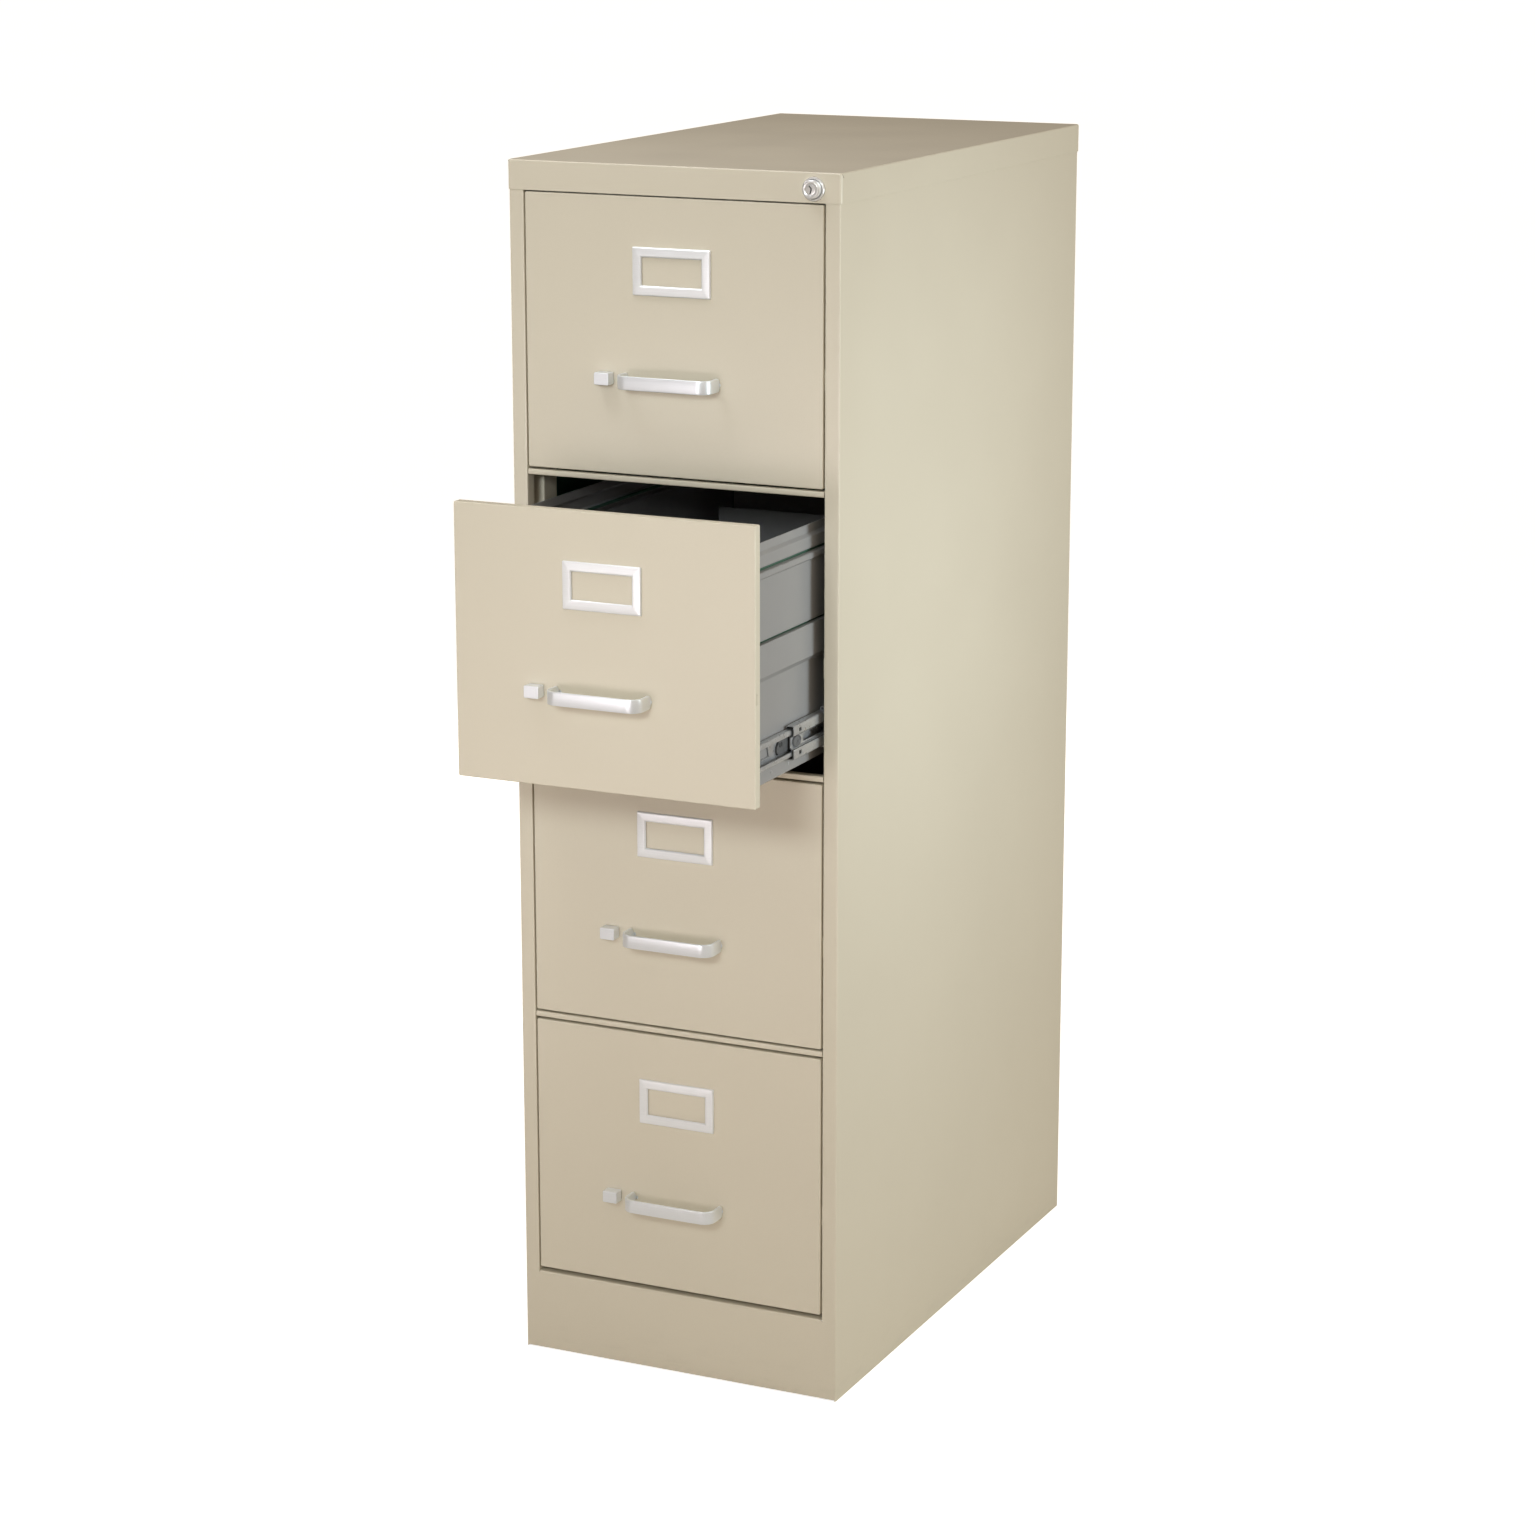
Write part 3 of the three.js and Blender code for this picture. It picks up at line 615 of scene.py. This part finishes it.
def inner_member(tip, web, half, length):
    """Fixed to the tray: a plain channel with its lips out, a window near the front and a row of holes."""
    lip = half - INNER_LIP
    section = [(tip, -lip), (tip, -half), (web, -half), (web, half), (tip, half), (tip, lip)]
    holes = [prism([(y * MM, z * MM) for y, z in INNER_WINDOW], "X", *THROUGH_WEBS)]
    for places, size in (INNER_SLOTS, INNER_HOLES):
        holes += [hole(y, 0, size) for y in places]
    return bored(member(section, length), *holes)


def middle_member(tip, web, half, length):
    """Runs between the two others: a channel with its web stepped in along the middle."""
    step, shoulder, foot = RECESS, 8 * MM, 5.8 * MM
    section = [
        (tip, LIP - half), (tip, -half), (web, -half), (web, -shoulder), (web - step, -foot),
        (web - step, foot), (web, shoulder), (web, half), (tip, half), (tip, half - LIP),
    ]
    y, z, size, corner = MIDDLE_SQUARES.values()
    holes = [hole(y, side * z, size, corner) for side in (-1, 1)]
    for start, end in MIDDLE_SLOTS:
        holes.append(hole((start + end) / 2, 0, (end - start, MIDDLE_SLOT_HEIGHT)))
    return bored(member(section, length), *holes)


def outer_member(tip, web, half, length):
    """Fixed to the posts: the widest channel, its lips in, with mounting slots."""
    section = [(tip, LIP - half), (tip, -half), (web, -half), (web, half), (tip, half), (tip, half - LIP)]
    slots, slot_size = OUTER_SLOTS
    holes = [hole(y, 0, slot_size) for y in slots]
    places, size = OUTER_HOLES
    holes += [hole(y, side * OUTER_HOLE_Z, size) for y in places for side in (-1, 1)]
    return bored(member(section, length), *holes)


def rivet_mesh(radius, height):
    """A domed rivet head that faces +X."""
    rim = [(radius, 0), (radius, -height * 0.35), (radius * 0.86, -height * 0.8), (radius * 0.5, -height)]
    return turned_to_x(turned([(0, 0)] + rim + [(0, -height)], 24))


BUMPER_SECTION = [(0, 0.6), (6, 0.6), (6, -1.5), (5.6, -2.1), (4.9, -2.3), (4.6, -2), (4.2, -1.5),
                  (2.6, -1.4), (2.3, -1.8), (1.5, -1.9), (1.2, -1.1), (0, -1.1)]


def bumper_mesh():
    """The moulded stop in the middle member's front end: a dished button with a moulding pip."""
    button = turned_to_x(turned([(r * MM, y * MM) for r, y in BUMPER_SECTION], 48))
    bmesh.ops.scale(button, vec=(1, BUMPER_LENGTH, 1), verts=button.verts)
    return button


CAGE = {"inner": -2 * MM, "outer": 5.4 * MM, "drop": 9 * MM, "bend": 1 * MM, "thick": 0.6 * MM}
CAGE_FRONT = -1.5 * MM  # how far its end stands out of the middle member


def cage_mesh(x, z, length):
    """A ball cage: a strip bent round the inner member's lip, its end standing out before the balls."""
    bend = x + CAGE["outer"]
    path = [(x + CAGE["inner"], z), (bend, z), (bend, z - CAGE["drop"])]
    return prism(folded(path, CAGE["bend"], CAGE["thick"]), "Y", CAGE_FRONT, length)


FIRST_BALL = 0.8  # of the pitch, from the start of its row


def balls_mesh(x, z, length, radius, pitch):
    balls = []
    for count in range(int(length / pitch)):
        ball = bmesh.new()
        bmesh.ops.create_icosphere(ball, subdivisions=2, radius=radius)
        balls.append(moved(ball, x, (count + FIRST_BALL) * pitch, z))
    return together(*balls)


LEVER_OUTLINE = (58, -8.2), (84, -8.2), (84, 8.2), (61, 8.2), (58, 3), (55, 1), (55, -4)
LEVER_THICK = 2.2 * MM
LEVER_RIBS = {"places": (62 * MM, 66.5 * MM), "z": 2 * MM, "sunk": 0.2 * MM, "proud": 1 * MM}
RIB_HALF_WIDTH, RIB_HALF_HEIGHT, RIB_CORNER = 0.8 * MM, 2.4 * MM, 0.5 * MM


def lever_mesh(x):
    """The moulded release lever on the inner member: a plate across the channel with two thumb ribs."""
    plate = prism([(y * MM, z * MM) for y, z in LEVER_OUTLINE], "X", x, x + LEVER_THICK)
    section = rounded(RIB_HALF_WIDTH, RIB_HALF_HEIGHT, RIB_CORNER, 3)
    root, top = x + LEVER_THICK - LEVER_RIBS["sunk"], x + LEVER_THICK + LEVER_RIBS["proud"]
    ribs = []
    for y in LEVER_RIBS["places"]:
        outline = [(u + y, v + LEVER_RIBS["z"]) for u, v in section]
        ribs.append(prism(outline, "X", root, top))
    return together(plate, *ribs)


# ---------------------------------------------------------------- CAD nodes that stay


def finish_of(name):
    if name == "back_panel":
        return BACK_ENAMEL
    if name.startswith("drawer_") and SLOTS[name] == "putty_paint":
        return FRONT_ENAMEL
    return FINISHES[SLOTS[name]]


EDGE_WIDTHS = {"satin_aluminium": 0.7 * MM, "putty_paint": 0.35 * MM}


def keep(name):
    """Gives a CAD node its finish, welded, dissolved to flat faces and softened."""
    piece = NODES[name]
    piece.data.materials.clear()
    piece.data.materials.append(finish_of(name))
    piece.data.polygons.foreach_set("use_smooth", [True] * len(piece.data.polygons))
    weld = piece.modifiers.new("weld", "WELD")
    weld.merge_threshold = 0.002 * MM
    flat = piece.modifiers.new("flat", "DECIMATE")
    flat.decimate_type = "DISSOLVE"
    flat.angle_limit = math.radians(0.6)
    soften(piece, EDGE_WIDTHS.get(SLOTS[name], 0.25 * MM))


for node in NODES:
    keep(node)

# ---------------------------------------------------------------- pieces that stand for CAD nodes


def middle_of(node):
    lo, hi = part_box(node)
    return (lo + hi) / 2


def fit_handles_and_labels():
    """A handle and a label frame on each drawer. The drawers share one mesh for each."""
    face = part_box("drawer_1_front")[0].y
    handle = finished(handle_mesh(*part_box("drawer_1_handle"), face), "handle")
    label = finished(label_frame_mesh(*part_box("drawer_1_label_frame")), "label_frame", 20)
    for number in DRAWERS:
        body = f"drawer_{number}"
        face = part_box(f"{body}_front")[0].y
        for part, data, metal in (("handle", handle, FINISHES["satin_aluminium"]),
                                  ("label_frame", label, LABEL_METAL)):
            node = f"{body}_{part}"
            centre = middle_of(node)
            at = (centre.x, face, centre.z)
            put(f"{node}_detailed", data, metal, body, at, [node])


def fit_lock():
    """The lock's bezel, plunger and plug, and a black prism in the keyway that paints the shade deep in the
    slot.
    """
    lo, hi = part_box("lock_housing")
    cap_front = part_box("top_panel")[0].y
    at = ((lo.x + hi.x) / 2, cap_front, (lo.z + hi.z) / 2)

    def scaled(profile):
        return [(radius * MM, y * MM) for radius, y in profile]

    parts = (
        ("lock_housing", turned(scaled(BEZEL), 96, closed=True)),
        ("lock_plunger", turned(scaled(PLUNGER), 96)),
        ("lock_key_plug", bored(turned(scaled(PLUG), 72), keyway(KEYWAY_FRONT))),
    )
    keyway_shade = finished(keyway(KEYWAY_SHADE_FRONT), "keyway_shade")
    put("lock_keyway_shade", keyway_shade, BLACK_ACETAL_AND_KEYWAY_SHADE, BODY_OF["lock_key_plug"], at)
    for node, mesh in parts:
        data = finished(mesh, node)
        put(f"{node}_detailed", data, FINISHES["chrome"], BODY_OF[node], at, [node])


BALL_PITCH = 6 * MM
BALL_GAP = 0.05 * MM  # between a ball and the members it runs in
INNER_ROW = 200 * MM
OUTER_ROW = 180 * MM
OUTER_ROW_START = 330 * MM
OUTER_ROW_OUT = 3 * MM  # how much nearer the posts the outer balls run
CAGE_LENGTH = 205 * MM
BUMPER_AT = 13 * MM
# Domed heads: (radius, height), and places in mm behind the member's front end.
RIVETS = (3.1 * MM, 0.9 * MM), (90, 245, 400, 540)
SCREWS = (3 * MM, 0.9 * MM), (22, 40, 552, 568)
CUT_EDGE = 0.16 * MM


def fit_slides():
    """Every slide member, with its balls, cages, rivets, stop and lever."""
    makers = {"inner": inner_member, "middle": middle_member, "outer": outer_member}
    members, extras = {}, {}
    boxes = {kind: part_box(f"drawer_1_right_{kind}_slide") for kind in makers}
    for kind, make in makers.items():
        lo, hi = boxes[kind]
        half = (hi.z - lo.z - SHEET) / 2
        web, tip = (lo.x + SHEET / 2, hi.x) if kind == "inner" else (hi.x - SHEET / 2, lo.x)
        members[kind] = make(tip, web, half, hi.y - lo.y)
    zinc, steel = FINISHES["zinc_steel"], BALL_STEEL
    inner_half = (boxes["inner"][1].z - boxes["inner"][0].z) / 2
    middle_half = (boxes["middle"][1].z - boxes["middle"][0].z) / 2
    outer_half = (boxes["outer"][1].z - boxes["outer"][0].z) / 2
    race = (inner_half + middle_half - SHEET) / 2
    outer_race = (middle_half + outer_half - SHEET) / 2
    ball = (middle_half - SHEET - inner_half) / 2 - BALL_GAP
    ball_x = boxes["middle"][0].x + ball + SHEET
    outer_ball = (outer_half - SHEET - middle_half) / 2 - BALL_GAP
    long_balls = []
    for side in (-1, 1):
        long_balls.append(balls_mesh(ball_x, side * race, INNER_ROW, ball, BALL_PITCH))
        row = balls_mesh(ball_x + OUTER_ROW_OUT, side * outer_race, OUTER_ROW, outer_ball, BALL_PITCH)
        long_balls.append(moved(row, y=OUTER_ROW_START))
    upper = cage_mesh(ball_x, race, CAGE_LENGTH)
    lower = upper.copy()
    bmesh.ops.scale(lower, vec=(1, 1, -1), verts=lower.verts)
    bmesh.ops.reverse_faces(lower, faces=lower.faces)
    recess = boxes["middle"][1].x - RECESS
    inner_web = boxes["inner"][0].x + SHEET
    outer_web = boxes["outer"][1].x - SHEET
    head, places = RIVETS
    heads = [moved(rivet_mesh(*head), inner_web, y * MM) for y in places]
    head, places = SCREWS
    screws = [moved(mirrored(rivet_mesh(*head)), outer_web, y * MM) for y in places]
    extras["inner"] = [("rivets", together(*heads), zinc, "zinc_steel"),
                       ("lever", lever_mesh(inner_web), LEVER_PLASTIC, "dark_steel")]
    extras["middle"] = [("balls", together(*long_balls), steel, "zinc_steel"),
                        ("cage", together(upper, lower), BLACK_ACETAL_AND_KEYWAY_SHADE, "dark_steel"),
                        ("bumper", moved(bumper_mesh(), recess, BUMPER_AT), GREY_PLASTIC, "dark_steel")]
    extras["outer"] = [("rivets", together(*screws), zinc, "zinc_steel")]
    for kind in makers:
        rows = [("channel", members[kind], zinc, "zinc_steel")] + extras[kind]
        for part, right, material, slot in rows:
            left = mirrored(right)
            shapes = {"right": finished(right, f"{kind}_{part}"), "left": finished(left, f"{kind}_{part}")}
            for number in DRAWERS:
                for side, data in shapes.items():
                    node = f"drawer_{number}_{side}_{kind}_slide"
                    lo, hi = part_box(node)
                    at = (0, lo.y, (lo.z + hi.z) / 2)
                    stands_for = [node] if part == "channel" else []
                    edge = CUT_EDGE if part == "channel" else 0
                    put(f"{node}_{part}", data, material, BODY_OF[node], at, stands_for, edge)


WELD_HEIGHT = 23 * MM  # of the spot welds along each tray's side, above the foot of the drawer's front
WELD_PLACES = [y * MM for y in range(15, 600, 41)]  # behind the tray's front
WELD_HEAD = 1.7 * MM, 0.6 * MM
WELD_SINK = 0.3 * MM


def fit_spot_welds():
    """The row of bright dimples where each tray's sides are joined to its floor."""
    right = together(*(moved(rivet_mesh(*WELD_HEAD), y=y) for y in WELD_PLACES))
    left = mirrored(right)
    shapes = {"right": finished(right, "spot_welds"), "left": finished(left, "spot_welds")}
    zinc = FINISHES["zinc_steel"]
    for number in DRAWERS:
        front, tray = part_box(f"drawer_{number}_front"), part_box(f"drawer_{number}_tray")
        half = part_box(f"drawer_{number}_right_inner_slide")[0].x - WELD_SINK
        for side, data in shapes.items():
            at = (SIDES[side] * half, tray[0].y, front[0].z + WELD_HEIGHT)
            put(f"drawer_{number}_{side}_spot_welds", data, zinc, f"drawer_{number}", at)


SCREW_INSET = 9 * MM  # from the cabinet's side to the screws of its back
SCREW_HEIGHTS = [z * MM for z in range(90, 1260, 160)]
SCREW_HEAD = 3.3 * MM, 1.2 * MM


def fit_back_screws():
    """The two rows of pan-head screws that hold the back to the sides' rear flanges."""
    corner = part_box("right_side_panel")[1]
    screws = [moved(turned_to_x(rivet_mesh(*SCREW_HEAD)), z=z) for z in SCREW_HEIGHTS]
    row = finished(together(*screws), "back_screws")
    for side, turn in SIDES.items():
        at = (turn * (corner.x - SCREW_INSET), corner.y, 0)
        put(f"back_screws_{side}", row, FINISHES["zinc_steel"], "cabinet", at)


SLIT = {"run": 4.4 * MM, "drop": 3.8 * MM, "width": 0.9 * MM}
SLIT_TOP = 1.8 * MM, -1.6 * MM  # from the cap's front edge at its top
SLIT_IN, SLIT_PROUD = 0.3 * MM, 0.03 * MM


def fit_cap_slits():
    """The short slanting slit that the folded cap leaves at each front corner, drawn as a strip of darker
    putty that paints the shade inside it.
    """
    run, drop, width = SLIT.values()
    steps = (0, 0), (width, 0), (run, -drop), (run - width, -drop)
    top = CAP_LOW.y + SLIT_TOP[0], CAP_HIGH.z + SLIT_TOP[1]
    outline = [(top[0] + y, top[1] + z) for y, z in steps]
    for side, turn in SIDES.items():
        face = CAP_HIGH.x if turn > 0 else CAP_LOW.x
        slit = prism(outline, "X", face - turn * SLIT_IN, face + turn * SLIT_PROUD)
        put(f"cap_slit_{side}", finished(slit, "cap_slit"), SLIT_SHADE, "cabinet")


TONGUE_WAY = (3.25 * MM, 5.15 * MM), (108.1 * MM, 117.9 * MM)  # behind the front's face, above its foot
TIP_LENGTH = 1.35 * MM
TIP_GAP = 0.02 * MM


def fit_latch_tips():
    """The enamelled end of each latch's tongue, which closes the slot in the drawer front's flange."""
    (near, far), (low, high) = TONGUE_WAY
    tip = prism([(near, low), (far, low), (far, high), (near, high)], "X", 0, TIP_LENGTH)
    data = finished(tip, "latch_tip")
    for number in DRAWERS:
        front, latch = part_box(f"drawer_{number}_front"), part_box(f"drawer_{number}_latch")
        at = (latch[1].x + TIP_GAP, front[0].y, front[0].z)
        body = f"drawer_{number}_latch"
        put(f"{body}_tip", data, FRONT_ENAMEL, body, at)


fit_handles_and_labels()
fit_lock()
fit_slides()
fit_spot_welds()
fit_back_screws()
fit_cap_slits()
fit_latch_tips()

# ---------------------------------------------------------------- studio

CAMERA_AT = Vector((1.78, -3.811, 1.682))
CAMERA_YAW = 25.08
CAMERA_PITCH = 14
LENS = 90.9
SENSOR = 36
SKY_TINT = 1, 0.87, 0.71
# Each light: name, place, the point it is aimed at, size, power in watts, spread in degrees, and tint.
SOFTBOXES = (
    ("side_key", (1.35, -0.05, 0.95), (0.19, -0.05, 0.9), (0.35, 0.6), 6, 140, (0.81, 0.925, 1)),
    ("front_low", (-0.3, -2.6, 0.56), (0, -0.3, 0.58), (1.8, 0.62), 1.7, 46, (1, 0.91, 0.94)),
    ("front_high", (0.3, -3.0, 1.9), (0, -0.3, 1.0), (0.9, 0.5), 3.8, 60, (0.91, 0.97, 1)),
    ("rear_fill", (-1.5, 2.9, 0.64), (-0.1, 0.3, 0.7), (1.6, 0.95), 14, 120, (1, 0.96, 0.9)),
    ("overhead", (-0.45, -0.75, 2.6), (-0.1, -0.2, 1.3), (0.7, 0.6), 1.65, 70, (0.92, 0.93, 1)),
)


def camera():
    data = bpy.data.cameras.new("camera")
    data.lens = LENS
    data.sensor_width = SENSOR
    data.clip_end = 50
    made = bpy.data.objects.new("camera", data)
    made.location = CAMERA_AT
    made.rotation_euler = (math.radians(90 - CAMERA_PITCH), 0, math.radians(CAMERA_YAW))
    bpy.context.scene.collection.objects.link(made)
    bpy.context.scene.camera = made


def softbox(name, at, aim, size, watts, spread, tint):
    """A rectangular light aimed at a point, its beam narrowed to a spread in degrees."""
    data = bpy.data.lights.new(name, "AREA")
    data.shape = "RECTANGLE"
    data.size, data.size_y = size
    data.energy = watts
    data.color = tint
    data.spread = math.radians(spread)
    made = bpy.data.objects.new(name, data)
    made.location = at
    made.rotation_euler = (Vector(aim) - Vector(at)).to_track_quat("-Z", "Y").to_euler()
    bpy.context.scene.collection.objects.link(made)


def backdrop(glow):
    """A pale floor. The glow is seen by the camera alone, so it whitens the floor and lights nothing."""
    mesh = bpy.data.meshes.new("floor")
    reach = 30
    corners = [(-reach, -reach, 0), (reach, -reach, 0), (reach, reach, 0), (-reach, reach, 0)]
    mesh.from_pydata(corners, [], [(0, 1, 2, 3)])
    floor = bpy.data.objects.new("floor", mesh)
    bpy.context.scene.collection.objects.link(floor)
    finish = Finish("pale_floor", 0.9)
    finish.shader.inputs["Emission Color"].default_value = (1, 1, 1, 1)
    seen = finish.node("ShaderNodeLightPath").outputs["Is Camera Ray"]
    finish.feed(finish.shader.inputs["Emission Strength"], finish.times(seen, glow))
    tint = finish.blend(finish.noise(0.6, 2), srgb(214, 209, 200), srgb(222, 217, 209))
    floor.data.materials.append(finish.done(tint))


def sky(level, right, overhead, tint):
    """A surround that the camera sees white, and that lights by direction: a level and two lobes."""
    world = bpy.data.worlds.new("studio")
    bpy.context.scene.world = world
    world.use_nodes = True
    tree = world.node_tree

    def calculate(operation, a, b):
        made = tree.nodes.new("ShaderNodeMath")
        made.operation = operation
        for socket, value in zip(made.inputs, (a, b)):
            if isinstance(value, bpy.types.NodeSocket):
                tree.links.new(value, socket)
            else:
                socket.default_value = value
        return made.outputs["Value"]

    way = tree.nodes.new("ShaderNodeSeparateXYZ")
    tree.links.new(tree.nodes.new("ShaderNodeTexCoord").outputs["Generated"], way.inputs["Vector"])
    light = level
    for axis, strength in (("X", right), ("Z", overhead)):
        facing = calculate("MAXIMUM", way.outputs[axis], 0)
        lobe = calculate("MULTIPLY", calculate("POWER", facing, 2), strength)
        light = calculate("ADD", light, lobe)
    seen = tree.nodes.new("ShaderNodeLightPath").outputs["Is Camera Ray"]
    background = tree.nodes["Background"]
    colour = tree.nodes.new("ShaderNodeMix")
    colour.data_type = "RGBA"
    tree.links.new(seen, colour.inputs["Factor"])
    first, second = (socket for socket in colour.inputs if socket.type == "RGBA")
    first.default_value = (*tint, 1)
    second.default_value = (1, 1, 1, 1)
    tree.links.new(next(s for s in colour.outputs if s.type == "RGBA"), background.inputs["Color"])
    tree.links.new(calculate("MAXIMUM", light, seen), background.inputs["Strength"])


camera()
sky(level=0.255, right=0.6, overhead=0.23, tint=SKY_TINT)
backdrop(glow=0.8)
for box in SOFTBOXES:
    softbox(*box)
bpy.context.scene.view_settings.view_transform = "Standard"
